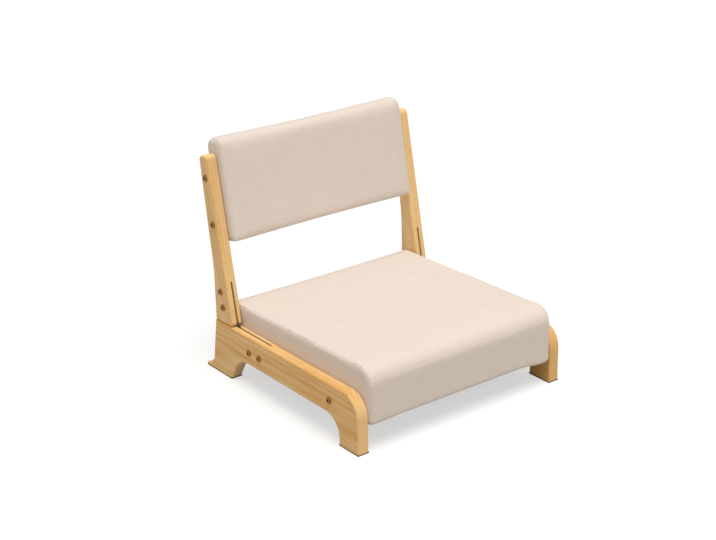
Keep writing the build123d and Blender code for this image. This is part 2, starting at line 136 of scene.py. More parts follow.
class FloorChairFinishes(bpy.types.PropertyGroup):
    """Colours of the wood, the cover and the metal"""

    wood_light: colour("Wood, light", "The wood's early growth", "#F7D093")
    wood_dark: colour("Wood, dark", "The wood's late growth and broad darker bands", "#DDA555")
    wood_pore: colour("Wood pores", "The short brown pores along the grain", "#95612B")
    thread_light: colour("Thread, light", "The cover's lighter threads", "#EDE1D6")
    thread_dark: colour("Thread, dark", "The cover's darker threads", "#E3D3C6")
    bronze: colour("Bronze", "Plating of the screws", "#8C6735")
    steel: colour("Steel", "The hinge leaves and pins", "#6C6862")
    zinc: colour("Zinc", "The threaded inserts and staples", "#B9B6AF")
    felt: colour("Felt", "Pads under the feet", "#5C564E")
    dust_cloth: colour("Dust cloth", "Cloth under the seat", "#3A3836")
    raw_wood: colour("Raw wood", "The battens and boards inside", "#DDBF91")
    foam: colour("Foam", "The padding", "#E9DFB8")


class FloorChairStage(bpy.types.PropertyGroup):
    """The camera, the lamps and the floor"""

    camera_azimuth: angle("Camera azimuth", "Direction of the camera around the chair", -37.153)
    camera_elevation: angle("Camera elevation", "Height of the camera's look", 22.160)
    camera_roll: angle("Camera roll", "Tilt of the picture", -0.986)
    camera_distance: length("Camera distance", "From the camera to the point it looks at", 2.6454)
    camera_target: bpy.props.FloatVectorProperty(
        name="Camera target", description="The point at the picture's centre", subtype="XYZ",
        unit="LENGTH", precision=4, default=(-0.0795, -0.0452, 0.2292),
    )
    focal_length: amount("Focal length", "The lens, in millimetres on a 36 mm sensor", 79.74)
    floor_size: length("Floor size", "Width of the floor", 14.0)
    key_strength: amount("Key strength", "Sun lamp's strength", 2.0)
    key_softness: angle("Key softness", "Sun lamp's apparent size", 40)
    key_direction: bpy.props.FloatVectorProperty(
        name="Key direction", description="Where the sun lamp's light comes from", subtype="XYZ",
        default=(-0.07, -0.27, 0.960),
    )
    sky_tint: colour("Sky tint", "Colour of the walls' light, a little warm", "#FFFAF3")
    sky_strength: amount("Sky strength", "Light of the studio's white walls", 0.48)


# ------------------------------------------------------------------ nodes and materials
MIX_FACTOR, MIX_A, MIX_B, MIX_RESULT = 0, 6, 7, 2   # a Mix node's sockets when it mixes colours


def add_node(tree, kind, settings=None, inputs=None, links=None):
    """Add a node with its settings and input values, and link its inputs to other outputs."""
    node = tree.nodes.new(kind)
    for name, value in (settings or {}).items():
        setattr(node, name, value)
    for socket, value in (inputs or {}).items():
        node.inputs[socket].default_value = value
    for socket, output in (links or {}).items():
        tree.links.new(output, node.inputs[socket])
    return node


def new_material(name):
    """A new material, as (material, its node tree, its surface shader)."""
    material = bpy.data.materials.new(name)
    material.use_nodes = True
    tree = material.node_tree
    return material, tree, tree.nodes["Principled BSDF"]


def facing_parts(tree, place, turn):
    """A node whose X, Y and Z say how squarely the surface faces along each axis after the turn."""
    facing = add_node(
        tree, "ShaderNodeMapping", {"vector_type": "NORMAL"}, {"Rotation": turn},
        {"Vector": place.outputs["Normal"]},
    )
    size = add_node(
        tree, "ShaderNodeVectorMath", {"operation": "ABSOLUTE"}, links={0: facing.outputs["Vector"]}
    )
    return add_node(tree, "ShaderNodeSeparateXYZ", links={"Vector": size.outputs["Vector"]})


def is_ray(tree, *kinds):
    """An output that is 1 for a ray of one of these kinds, and 0 for any other."""
    path = add_node(tree, "ShaderNodeLightPath")
    found = path.outputs[kinds[0]]
    for kind in kinds[1:]:
        found = add_node(
            tree, "ShaderNodeMath", {"operation": "MAXIMUM"},
            links={0: found, 1: path.outputs[kind]},
        ).outputs["Value"]
    return found


def dress(piece, material):
    """Give a piece one material all over."""
    piece.data.materials.clear()
    piece.data.materials.append(material)
    for face in piece.data.polygons:
        face.material_index = 0


def oiled_rubberwood(name, finishes, board, turn, seed, tone):
    """Rubberwood, planed, rounded over and oiled: honey-coloured, with faint straight growth rings,
    fine fibres and short brown pores along the grain, under a thin satin film. The rounded ends of
    the grain are sanded paler. No two boards are alike: the tone makes one darker or lighter, and
    on a board that stands in shade a darker tone is also painted shade."""
    ring_spacing = 0.0065
    ring_wander = 0.011
    pore_depth = 1.5        # beside the height of the fibres
    marks_along_across = {
        "wander": (0.19, 0.05, 2.0),
        "bands": (0.21, 0.016, 3.0),
        "fibres": (0.045, 0.0011, 3.0),
        "pores": (0.008, 0.0008, 1.0),
    }
    pith_from_board = Vector((0, 0.052 + 0.006 * seed, 0.012 - 0.007 * seed))
    low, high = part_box(board)
    shift = pith_from_board - Euler(turn).to_matrix() @ ((low + high) / 2)
    material, tree, shader = new_material(name)
    place = add_node(tree, "ShaderNodeTexCoord")
    along_grain = add_node(
        tree, "ShaderNodeMapping", inputs={"Rotation": turn, "Location": shift},
        links={"Vector": place.outputs["Object"]},
    ).outputs["Vector"]
    marks = {}
    for mark, (along, across, detail) in marks_along_across.items():
        stretched = add_node(
            tree, "ShaderNodeMapping",
            inputs={
                "Scale": (1 / along, 1 / across, 1 / across),
                "Location": [7 * seed + len(marks)] * 3,
            },
            links={"Vector": along_grain},
        )
        marks[mark] = add_node(
            tree, "ShaderNodeTexNoise", inputs={"Scale": 1.0, "Detail": detail},
            links={"Vector": stretched.outputs["Vector"]},
        ).outputs["Fac"]

    across = add_node(
        tree, "ShaderNodeVectorMath", {"operation": "MULTIPLY"}, {1: (0, 1, 1)}, {0: along_grain}
    )
    from_pith = add_node(
        tree, "ShaderNodeVectorMath", {"operation": "LENGTH"}, links={0: across.outputs["Vector"]}
    )
    wandered = add_node(
        tree, "ShaderNodeMath", {"operation": "MULTIPLY_ADD"}, {1: ring_wander},
        {0: marks["wander"], 2: from_pith.outputs["Value"]},
    )
    phase = add_node(
        tree, "ShaderNodeMath", {"operation": "MULTIPLY"}, {1: 2 * pi / ring_spacing},
        {0: wandered.outputs["Value"]},
    )
    rings = add_node(
        tree, "ShaderNodeMath", {"operation": "SINE"}, links={0: phase.outputs["Value"]}
    )
    late_growth = add_node(
        tree, "ShaderNodeMapRange", {"interpolation_type": "SMOOTHSTEP"},
        {"From Min": -0.3, "From Max": 1.0, "To Max": 0.26}, {"Value": rings.outputs["Value"]},
    )
    bands = add_node(
        tree, "ShaderNodeMapRange", None, {"From Min": 0.36, "From Max": 0.68, "To Max": 0.52},
        {"Value": marks["bands"]},
    )
    streaks = add_node(
        tree, "ShaderNodeMapRange", None, {"From Min": 0.40, "From Max": 0.72, "To Max": 0.36},
        {"Value": marks["fibres"]},
    )
    grown = add_node(
        tree, "ShaderNodeMath", {"operation": "ADD"},
        links={0: late_growth.outputs["Result"], 1: bands.outputs["Result"]},
    )
    streaked = add_node(
        tree, "ShaderNodeMath", {"operation": "ADD"},
        links={0: grown.outputs["Value"], 1: streaks.outputs["Result"]},
    )
    at_ends = add_node(
        tree, "ShaderNodeMapRange", None, {"From Min": 0.3, "To Min": 1.0, "To Max": 0.15},
        {"Value": facing_parts(tree, place, turn).outputs["X"]},
    )
    darkness = add_node(
        tree, "ShaderNodeMath", {"operation": "MULTIPLY_ADD", "use_clamp": True}, {2: tone},
        {0: streaked.outputs["Value"], 1: at_ends.outputs["Result"]},
    ).outputs["Value"]
    body = add_node(
        tree, "ShaderNodeMix", {"data_type": "RGBA"},
        {MIX_A: finishes.wood_light, MIX_B: finishes.wood_dark}, {MIX_FACTOR: darkness},
    ).outputs[MIX_RESULT]
    pores = add_node(
        tree, "ShaderNodeMapRange", {"interpolation_type": "SMOOTHSTEP"},
        {"From Min": 0.63, "From Max": 0.76, "To Max": 0.50}, {"Value": marks["pores"]},
    ).outputs["Result"]
    surface = add_node(
        tree, "ShaderNodeMix", {"data_type": "RGBA"}, {MIX_B: finishes.wood_pore},
        {MIX_FACTOR: pores, MIX_A: body},
    )
    gloss = add_node(
        tree, "ShaderNodeMapRange", None, {"To Min": 0.44, "To Max": 0.58}, {"Value": darkness}
    )
    relief = add_node(
        tree, "ShaderNodeMath", {"operation": "MULTIPLY_ADD"}, {1: -pore_depth},
        {0: pores, 2: marks["fibres"]},
    )
    bump = add_node(
        tree, "ShaderNodeBump", None, {"Strength": 0.35, "Distance": 0.00025},
        {"Height": relief.outputs["Value"]},
    )
    tree.links.new(surface.outputs[MIX_RESULT], shader.inputs["Base Color"])
    tree.links.new(gloss.outputs["Result"], shader.inputs["Roughness"])
    tree.links.new(bump.outputs["Normal"], shader.inputs["Normal"])
    shader.inputs["Specular IOR Level"].default_value = 0.30
    shader.inputs["Coat Weight"].default_value = 0.05
    shader.inputs["Coat Roughness"].default_value = 0.30
    return material


def linen_look_weave(name, finishes, lean):
    """A polyester cloth woven to look like linen: matt, with crossing threads of uneven thickness,
    which give faint slubs both ways, and with a soft nap."""
    thread = 0.0016         # about twice the real spacing, so that the weave shows in the render
    slub_along, slub_across = 0.030, 0.0022
    cloud = 0.05
    slub_contrast, cloud_contrast, ridge_contrast = 0.8, 0.35, -0.20
    plain_tone = 0.47       # before the clouds and ridges, from light threads at 0 to dark at 1
    slub_height = 1.2       # beside the height of a thread
    material, tree, shader = new_material(name)
    place = add_node(tree, "ShaderNodeTexCoord")
    square = add_node(
        tree, "ShaderNodeMapping", inputs={"Rotation": (lean, 0, 0)},
        links={"Vector": place.outputs["Object"]},
    ).outputs["Vector"]
    facing = facing_parts(tree, place, (lean, 0, 0))
    parts = add_node(tree, "ShaderNodeSeparateXYZ", links={"Vector": square})

    # Threads that stand on a face's own direction fade out there, so each face shows two ways.
    ridges = None
    slubs = None
    for seed, axis in enumerate("XYZ"):
        lies_flat = add_node(
            tree, "ShaderNodeMapRange", {"interpolation_type": "SMOOTHSTEP"},
            {"From Min": 0.9, "From Max": 0.55}, {"Value": facing.outputs[axis]},
        ).outputs["Result"]
        turns = add_node(
            tree, "ShaderNodeMath", {"operation": "MULTIPLY"}, {1: pi / thread},
            {0: parts.outputs[axis]},
        )
        wave = add_node(
            tree, "ShaderNodeMath", {"operation": "SINE"}, links={0: turns.outputs["Value"]}
        )
        ridge = add_node(
            tree, "ShaderNodeMath", {"operation": "ABSOLUTE"}, links={0: wave.outputs["Value"]}
        )
        ridges = add_node(
            tree, "ShaderNodeMath", {"operation": "MULTIPLY_ADD"}, {2: 0.0},
            {0: ridge.outputs["Value"], 1: lies_flat, **({2: ridges} if ridges else {})},
        ).outputs["Value"]
        drawn_out = add_node(
            tree, "ShaderNodeMapping",
            inputs={
                "Scale": [1 / (slub_along if axis == other else slub_across) for other in "XYZ"],
                "Location": [4 + 3 * seed] * 3,
            },
            links={"Vector": square},
        )
        thickness = add_node(
            tree, "ShaderNodeTexNoise", inputs={"Scale": 1.0, "Detail": 2.0},
            links={"Vector": drawn_out.outputs["Vector"]},
        )
        centred = add_node(
            tree, "ShaderNodeMath", {"operation": "SUBTRACT"}, {1: 0.5},
            {0: thickness.outputs["Fac"]},
        )
        slubs = add_node(
            tree, "ShaderNodeMath", {"operation": "MULTIPLY_ADD"}, {2: 0.0},
            {0: centred.outputs["Value"], 1: lies_flat, **({2: slubs} if slubs else {})},
        ).outputs["Value"]

    clouds = add_node(
        tree, "ShaderNodeTexNoise", inputs={"Scale": 1 / cloud, "Detail": 2.0},
        links={"Vector": square},
    )
    thread_tone = add_node(
        tree, "ShaderNodeMath", {"operation": "MULTIPLY_ADD"}, {1: slub_contrast, 2: plain_tone},
        {0: slubs},
    )
    clouded = add_node(
        tree, "ShaderNodeMath", {"operation": "MULTIPLY_ADD"}, {1: cloud_contrast},
        {0: clouds.outputs["Fac"], 2: thread_tone.outputs["Value"]},
    )
    woven = add_node(
        tree, "ShaderNodeMath", {"operation": "MULTIPLY_ADD", "use_clamp": True},
        {1: ridge_contrast}, {0: ridges, 2: clouded.outputs["Value"]},
    )
    cloth = add_node(
        tree, "ShaderNodeMix", {"data_type": "RGBA"},
        {MIX_A: finishes.thread_light, MIX_B: finishes.thread_dark},
        {MIX_FACTOR: woven.outputs["Value"]},
    )
    relief = add_node(
        tree, "ShaderNodeMath", {"operation": "MULTIPLY_ADD"}, {1: slub_height},
        {0: slubs, 2: ridges},
    )
    bump = add_node(
        tree, "ShaderNodeBump", None, {"Strength": 0.3, "Distance": 0.00025},
        {"Height": relief.outputs["Value"]},
    )
    tree.links.new(cloth.outputs[MIX_RESULT], shader.inputs["Base Color"])
    tree.links.new(bump.outputs["Normal"], shader.inputs["Normal"])
    shader.inputs["Roughness"].default_value = 0.92
    shader.inputs["Specular IOR Level"].default_value = 0.20
    shader.inputs["Sheen Weight"].default_value = 0.12
    shader.inputs["Sheen Roughness"].default_value = 0.5
    return material


def worn_metal(name, tint, roughness, brushed):
    """Plated or plain steel: a metal with fine scratches of the given width, drawn one way, and
    patches where it has dulled."""
    patch = 0.003
    scratch_length = 12     # in widths
    patch_tone = 0.72
    polished, dulled = roughness - 0.06, roughness + 0.08
    material, tree, shader = new_material(name)
    place = add_node(tree, "ShaderNodeTexCoord").outputs["Object"]
    drawn_out = add_node(
        tree, "ShaderNodeMapping",
        inputs={"Scale": (1 / brushed, 1 / brushed, 1 / (scratch_length * brushed))},
        links={"Vector": place},
    )
    scratches = add_node(
        tree, "ShaderNodeTexNoise", inputs={"Scale": 1.0, "Detail": 2.0},
        links={"Vector": drawn_out.outputs["Vector"]},
    ).outputs["Fac"]
    patches = add_node(
        tree, "ShaderNodeTexNoise", inputs={"Scale": 1 / patch, "Detail": 2.0},
        links={"Vector": place},
    )
    dulling = add_node(
        tree, "ShaderNodeMapRange", None,
        {"From Min": 0.3, "From Max": 0.7, "To Min": polished, "To Max": dulled},
        {"Value": scratches},
    )
    tone = add_node(
        tree, "ShaderNodeMix", {"data_type": "RGBA"},
        {MIX_A: tint, MIX_B: [patch_tone * part for part in tint[:3]] + [1.0]},
        {MIX_FACTOR: patches.outputs["Fac"]},
    )
    bump = add_node(
        tree, "ShaderNodeBump", None, {"Strength": 0.2, "Distance": 0.00005}, {"Height": scratches}
    )
    tree.links.new(tone.outputs[MIX_RESULT], shader.inputs["Base Color"])
    tree.links.new(dulling.outputs["Result"], shader.inputs["Roughness"])
    tree.links.new(bump.outputs["Normal"], shader.inputs["Normal"])
    shader.inputs["Metallic"].default_value = 1.0
    return material


def matted_fibres(name, tint, fibre, contrast, relief):
    """Felt, spun cloth, foam or raw wood: matt, with tangled fibres or cells of the given size."""
    material, tree, shader = new_material(name)
    place = add_node(tree, "ShaderNodeTexCoord")
    sized = add_node(
        tree, "ShaderNodeMapping", inputs={"Scale": [1 / part for part in fibre]},
        links={"Vector": place.outputs["Object"]},
    )
    tangle = add_node(
        tree, "ShaderNodeTexNoise", inputs={"Scale": 1.0, "Detail": 3.0},
        links={"Vector": sized.outputs["Vector"]},
    ).outputs["Fac"]
    tone = add_node(
        tree, "ShaderNodeMix", {"data_type": "RGBA"},
        {MIX_A: tint, MIX_B: [(1 - contrast) * part for part in tint[:3]] + [1.0]},
        {MIX_FACTOR: tangle},
    )
    bump = add_node(
        tree, "ShaderNodeBump", None, {"Strength": 0.6, "Distance": relief}, {"Height": tangle}
    )
    tree.links.new(tone.outputs[MIX_RESULT], shader.inputs["Base Color"])
    tree.links.new(bump.outputs["Normal"], shader.inputs["Normal"])
    shader.inputs["Roughness"].default_value = 0.9
    shader.inputs["Specular IOR Level"].default_value = 0.3
    return material


# ------------------------------------------------------------------ modelling
SAME = 1e-5     # metres: two places nearer than this count as one


def box_between(name, low, high):
    """Add a box between two corners, with its place in its mesh."""
    bpy.ops.object.select_all(action="DESELECT")
    low, high = Vector(low), Vector(high)
    bpy.ops.mesh.primitive_cube_add(size=1, location=(low + high) / 2, scale=high - low)
    bpy.ops.object.transform_apply(location=True, rotation=True, scale=True)
    piece = bpy.context.object
    piece.name = name
    piece.data.name = name
    return piece


def make_active(piece):
    """Select one piece alone, in object mode."""
    bpy.ops.object.select_all(action="DESELECT")
    piece.select_set(True)
    bpy.context.view_layer.objects.active = piece


def select_edges(piece, test):
    """In edit mode, select the edges that pass the test."""
    bpy.ops.mesh.select_mode(type="EDGE")
    bpy.ops.mesh.select_all(action="DESELECT")
    form = bmesh.from_edit_mesh(piece.data)
    for edge in form.edges:
        if test(edge):
            edge.select_set(True)
    bmesh.update_edit_mesh(piece.data)


def middle(edge):
    """The middle of an edge."""
    return (edge.verts[0].co + edge.verts[1].co) / 2


def runs_across(edge):
    """Whether an edge runs across the chair, along X."""
    span = edge.verts[1].co - edge.verts[0].co
    return abs(span.x) > 0.9 * span.length


def round_edges(piece, test, width, segments):
    """In edit mode, round the edges that pass the test."""
    select_edges(piece, test)
    bpy.ops.mesh.bevel(offset=width, segments=segments, affect="EDGES")


def round_cross_edges(piece, box, rounds, segments):
    """In edit mode, round edges that run across the chair. The box gives the planes that they lie
    at or beyond, and each round says whether it is at the front, whether it is at the top, and its
    width."""
    front, rear, bottom, top = box
    for at_front, at_top, width in rounds:
        round_edges(
            piece,
            lambda edge: runs_across(edge)
            and (middle(edge).y < front if at_front else middle(edge).y > rear)
            and (middle(edge).z > top if at_top else middle(edge).z < bottom),
            width, segments,
        )


def round_side_rims(piece, half_width, width, segments):
    """In edit mode, round the rims of the two side faces."""
    def on_rim(edge):
        flat = [abs(abs(v.co.x) - half_width) < SAME for v in edge.verts]
        across = [face for face in edge.link_faces if abs(face.normal.x) < 0.5]
        return all(flat) and len(across) == 1
    round_edges(piece, on_rim, width, segments)


def swell(piece, held, sizes):
    """Blow the padding up as cloth under pressure, where no point moves further than the swell and
    held gives how firmly each point stays."""
    frames = 20
    make_active(piece)
    fixing = piece.vertex_groups.new(name="held")
    for vertex in piece.data.vertices:
        fixing.add([vertex.index], held(vertex.co), "REPLACE")
    start = [vertex.co.copy() for vertex in piece.data.vertices]
    bpy.ops.object.modifier_add(type="CLOTH")
    cloth = piece.modifiers[-1]
    cloth.settings.use_pressure = True
    cloth.settings.uniform_pressure_force = sizes.pressure
    cloth.settings.bending_stiffness = sizes.stiffness
    cloth.settings.vertex_group_mass = fixing.name
    cloth.settings.effector_weights.gravity = 0
    cloth.point_cache.frame_start = 1
    cloth.point_cache.frame_end = frames
    for number in range(1, frames + 1):
        bpy.context.scene.frame_set(number)
    bpy.ops.object.modifier_apply(modifier=cloth.name)
    bpy.context.scene.frame_set(1)
    for vertex, place in zip(piece.data.vertices, start):
        step = vertex.co - place
        reach = step.length
        if reach > 0:
            vertex.co = place + step * (sizes.swell * tanh(reach / sizes.swell) / reach)
    piece.vertex_groups.clear()


def apply_modifier(piece, kind, **settings):
    """Add a modifier with its settings, and apply it."""
    make_active(piece)
    bpy.ops.object.modifier_add(type=kind)
    modifier = piece.modifiers[-1]
    for name, value in settings.items():
        setattr(modifier, name, value)
    bpy.ops.object.modifier_apply(modifier=modifier.name)


def keep_inside(piece, half_width):
    """Press the piece flat against the planes at its sides."""
    for vertex in piece.data.vertices:
        vertex.co.x = max(-half_width, min(half_width, vertex.co.x))


def draw_sides_in(piece, half_width, outside, depth):
    """Draw the piece's sides in where it stands outside the wood beside it."""
    still, drawn = 0.012, 0.001         # metres in from the side
    covered, free = -0.006, 0.001       # metres outside the wood
    for vertex in piece.data.vertices:
        near_side = rise(abs(vertex.co.x), half_width - still, half_width - drawn)
        in_view = rise(outside(vertex.co), covered, free)
        vertex.co.x -= depth * near_side * in_view * (1 if vertex.co.x > 0 else -1)


def hang_corners(piece, half_width, front, bottom, drop):
    """Let the lower front corners hang, where the cover is folded thick, the left one less."""
    left_share = 0.25
    side_none, side_whole = 0.070, 0.015        # metres in from the side
    front_whole, front_none = 0.004, 0.024      # metres behind the front
    height = 0.045
    for vertex in piece.data.vertices:
        near_end = rise(abs(vertex.co.x), half_width - side_none, half_width - side_whole)
        near_front = 1 - rise(vertex.co.y, front + front_whole, front + front_none)
        low_down = 1 - rise(vertex.co.z, bottom, bottom + height)
        share = 1 if vertex.co.x > 0 else left_share
        vertex.co.z -= drop * share * near_end * near_front * low_down


def outside_rail(place):
    """How far a place lies outside the side frames' upper outline, seen from the side."""
    corner_round = 0.038
    across = max(0.0, rail_low.y + corner_round - place.y)
    up = max(0.0, place.z - rail_high.z + corner_round)
    return Vector((across, up)).length - corner_round


def round_upper_corners(piece, half_width, top, width):
    """Round the piece's upper corners, seen from in front."""
    for vertex in piece.data.vertices:
        side = 1 if vertex.co.x > 0 else -1
        across = abs(vertex.co.x) - half_width + width
        up = vertex.co.z - top + width
        if across > 0 and up > 0:
            scale = max(across, up) / Vector((across, up)).length
            vertex.co.x = side * (half_width - width + across * scale)
            vertex.co.z = top - width + up * scale


def sew_side_panels(piece, half_width, sizes):
    """Sink the seams that join the side panels to the band round the cushion."""
    make_active(piece)
    seam = half_width - sizes.seam_inset
    bpy.ops.object.mode_set(mode="EDIT")
    for side in (-1, 1):
        for offset in (-sizes.seam_half_width, 0, sizes.seam_half_width):
            bpy.ops.mesh.select_all(action="SELECT")
            bpy.ops.mesh.bisect(plane_co=(side * seam + offset, 0, 0), plane_no=(1, 0, 0))
    bpy.ops.object.mode_set(mode="OBJECT")
    piece.data.update()
    sunk = [v for v in piece.data.vertices if abs(abs(v.co.x) - seam) < SAME]
    moves = [v.normal * sizes.seam_depth for v in sunk]
    for vertex, move in zip(sunk, moves):
        vertex.co -= move


def finish_padding(piece, half_width, sizes):
    """Smooth the padding's mesh, press its sides flat and sew their seams."""
    apply_modifier(piece, "SMOOTH", factor=0.5, iterations=2)
    apply_modifier(piece, "SUBSURF", levels=1, render_levels=1)
    keep_inside(piece, half_width)
    sew_side_panels(piece, half_width, sizes)


def rise(value, low, high):
    """A smooth step from 0 at low to 1 at high."""
    part = max(0.0, min(1.0, (value - low) / (high - low)))
    return part * part * (3 - 2 * part)


def held_by_side(place, half_width):
    """How firmly the side panel beside a place holds it."""
    free, fast = 0.012, 0.002           # metres in from the side
    return rise(abs(place.x), half_width - free, half_width - fast)


# ------------------------------------------------------------------ operators
class ChairOperator:
    """What the operators of this file share"""

    bl_options = {"REGISTER", "UNDO"}


class FLOOR_CHAIR_OT_timber(ChairOperator, bpy.types.Operator):
    """Give each side frame and upright its own board of oiled rubberwood"""

    bl_idname = "floor_chair.timber"
    bl_label = "Timber"

    def execute(self, context):
        finishes = context.scene.floor_chair_finishes
        lean = context.scene.floor_chair_cushions.lean
        along_rail = (0, 0, -pi / 2)
        along_upright = (lean - pi / 2, 0, -pi / 2)
        boards = {
            "side_frame_left": (along_rail, 0.06),
            # The right side frame's darker tone is partly the board's own and partly painted shade
            # on its leg's front beside the cushion.
            "side_frame_right": (along_rail, 0.50),
            "upright_left": (along_upright, -0.18),
            "upright_right": (along_upright, -0.45),
        }
        for seed, (board, (turn, tone)) in enumerate(boards.items()):
            wood = oiled_rubberwood("oiled_rubberwood_" + board, finishes, board, turn, seed, tone)
            dress(nodes[board], wood)
        return {"FINISHED"}


class FLOOR_CHAIR_OT_hardware(ChairOperator, bpy.types.Operator):
    """Plate the screws and bolts, and finish the hinges and inserts"""

    bl_idname = "floor_chair.hardware"
    bl_label = "Screws and hinges"

    def execute(self, context):
        finishes = context.scene.floor_chair_finishes
        bronze = worn_metal("bronze_plated_steel", finishes.bronze, 0.34, 0.0004)
        steel = worn_metal("rolled_steel_strip", finishes.steel, 0.42, 0.0005)
        zinc = worn_metal("zinc_plated_steel", finishes.zinc, 0.38, 0.0005)
        for name, node in nodes.items():
            if name.endswith(("_bolts", "_screws")):
                dress(node, bronze)
            elif name.startswith("hinge_"):
                dress(node, steel)
            elif name.endswith("_inserts"):
                dress(node, zinc)
        return {"FINISHED"}


class FLOOR_CHAIR_OT_inner_parts(ChairOperator, bpy.types.Operator):
    """Finish the foot pads and the pieces that the covers hide"""

    bl_idname = "floor_chair.inner_parts"
    bl_label = "Pads and inner parts"

    def execute(self, context):
        finishes = context.scene.floor_chair_finishes
        felt = matted_fibres("pressed_felt", finishes.felt, (0.0016,) * 3, 0.35, 0.0004)
        raw = matted_fibres("sawn_pine", finishes.raw_wood, (0.03, 0.0012, 0.0012), 0.35, 0.0002)
        foam = matted_fibres("open_cell_foam", finishes.foam, (0.0012,) * 3, 0.25, 0.0005)
        for name, node in nodes.items():
            if name.startswith("foot_pad"):
                dress(node, felt)
            elif "foam" in name:
                dress(node, foam)
            elif "batten" in name or name in ("seat_deck", "seat_frame_dowels", "back_board"):
                dress(node, raw)
        return {"FINISHED"}


class FLOOR_CHAIR_OT_seat_cushion(ChairOperator, bpy.types.Operator):
    """Make the seat's cover over its foam, crowned, with sewn side panels"""

    bl_idname = "floor_chair.seat_cushion"
    bl_label = "Seat cushion"

    def execute(self, context):
        sizes = context.scene.floor_chair_cushions
        half_width = seat_high.x - sizes.side_gap
        front, rear = seat_low.y, seat_high.y + sizes.seat_overhang
        bottom = seat_low.z
        piece = box_between(
            "seat_cushion",
            (-half_width, front, bottom), (half_width, rear, sizes.seat_front_height),
        )
        for vertex in piece.data.vertices:
            if vertex.co.y > 0 and vertex.co.z > rail_high.z:
                vertex.co.z = sizes.seat_rear_height
        bpy.ops.object.mode_set(mode="EDIT")
        round_cross_edges(
            piece, (front + SAME, rear - SAME, bottom + SAME, rail_high.z),
            (
                (True, True, sizes.seat_front_round),
                (False, True, sizes.seat_rear_round),
                (True, False, sizes.seat_lower_round),
            ),
            segments=10,
        )
        round_side_rims(piece, half_width, sizes.seat_side_round, segments=4)
        bpy.ops.object.mode_set(mode="OBJECT")
        apply_modifier(piece, "REMESH", mode="VOXEL", voxel_size=sizes.voxel)
        low_fast, low_free = 0.002, 0.030       # metres above the bottom
        front_fast, front_free = 0.004, 0.030   # metres behind the front, which is drawn tight
        tight = 0.9
        swell(
            piece,
            lambda place: max(
                held_by_side(place, half_width),
                1 - rise(place.z, bottom + low_fast, bottom + low_free),
                tight - tight * rise(place.y, front + front_fast, front + front_free),
            ),
            sizes,
        )
        finish_padding(piece, half_width, sizes)
        draw_sides_in(piece, half_width, outside_rail, sizes.tuck)
        hang_corners(piece, half_width, front, bottom, sizes.corner_drop)
        bpy.ops.object.shade_smooth()
        finishes = context.scene.floor_chair_finishes
        dress(piece, linen_look_weave("linen_look_weave_seat", finishes, lean=0))
        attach(piece, "base")
        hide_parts("seat_cover", "seat_foam")
        return {"FINISHED"}


class FLOOR_CHAIR_OT_back_cushion(ChairOperator, bpy.types.Operator):
    """Make the back's cover over its foam, with sewn side panels"""

    bl_idname = "floor_chair.back_cushion"
    bl_label = "Back cushion"

    def execute(self, context):
        sizes = context.scene.floor_chair_cushions
        half_width = back_high.x - sizes.side_gap
        front = -sizes.back_proud
        rear = sizes.back_thickness - sizes.back_proud
        bottom = sizes.back_bottom
        top = sizes.back_bottom + sizes.back_height
        piece = box_between("back_cushion", (-half_width, front, bottom), (half_width, rear, top))
        bpy.ops.object.mode_set(mode="EDIT")
        round_cross_edges(
            piece, (front + SAME, rear - SAME, bottom + SAME, top - SAME),
            (
                (True, True, sizes.back_front_round),
                (False, True, sizes.back_rear_round),
                (True, False, sizes.back_lower_round),
                (False, False, sizes.back_lower_round),
            ),
            segments=8,
        )
        round_side_rims(piece, half_width, sizes.back_side_round, segments=4)
        bpy.ops.object.mode_set(mode="OBJECT")
        apply_modifier(piece, "REMESH", mode="VOXEL", voxel_size=sizes.voxel)
        round_upper_corners(piece, half_width, top, sizes.back_corner_round)
        swell(piece, lambda place: held_by_side(place, half_width), sizes)
        finish_padding(piece, half_width, sizes)
        piece.matrix_world = Matrix.Translation(hinge_place) @ Matrix.Rotation(-sizes.lean, 4, "X")
        make_active(piece)
        bpy.ops.object.transform_apply(location=True, rotation=True, scale=True)
        bpy.ops.object.shade_smooth()
        finishes = context.scene.floor_chair_finishes
        dress(piece, linen_look_weave("linen_look_weave_back", finishes, sizes.lean))
        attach(piece, "backrest")
        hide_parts("back_cover", "back_foam_front", "back_foam_rear")
        return {"FINISHED"}


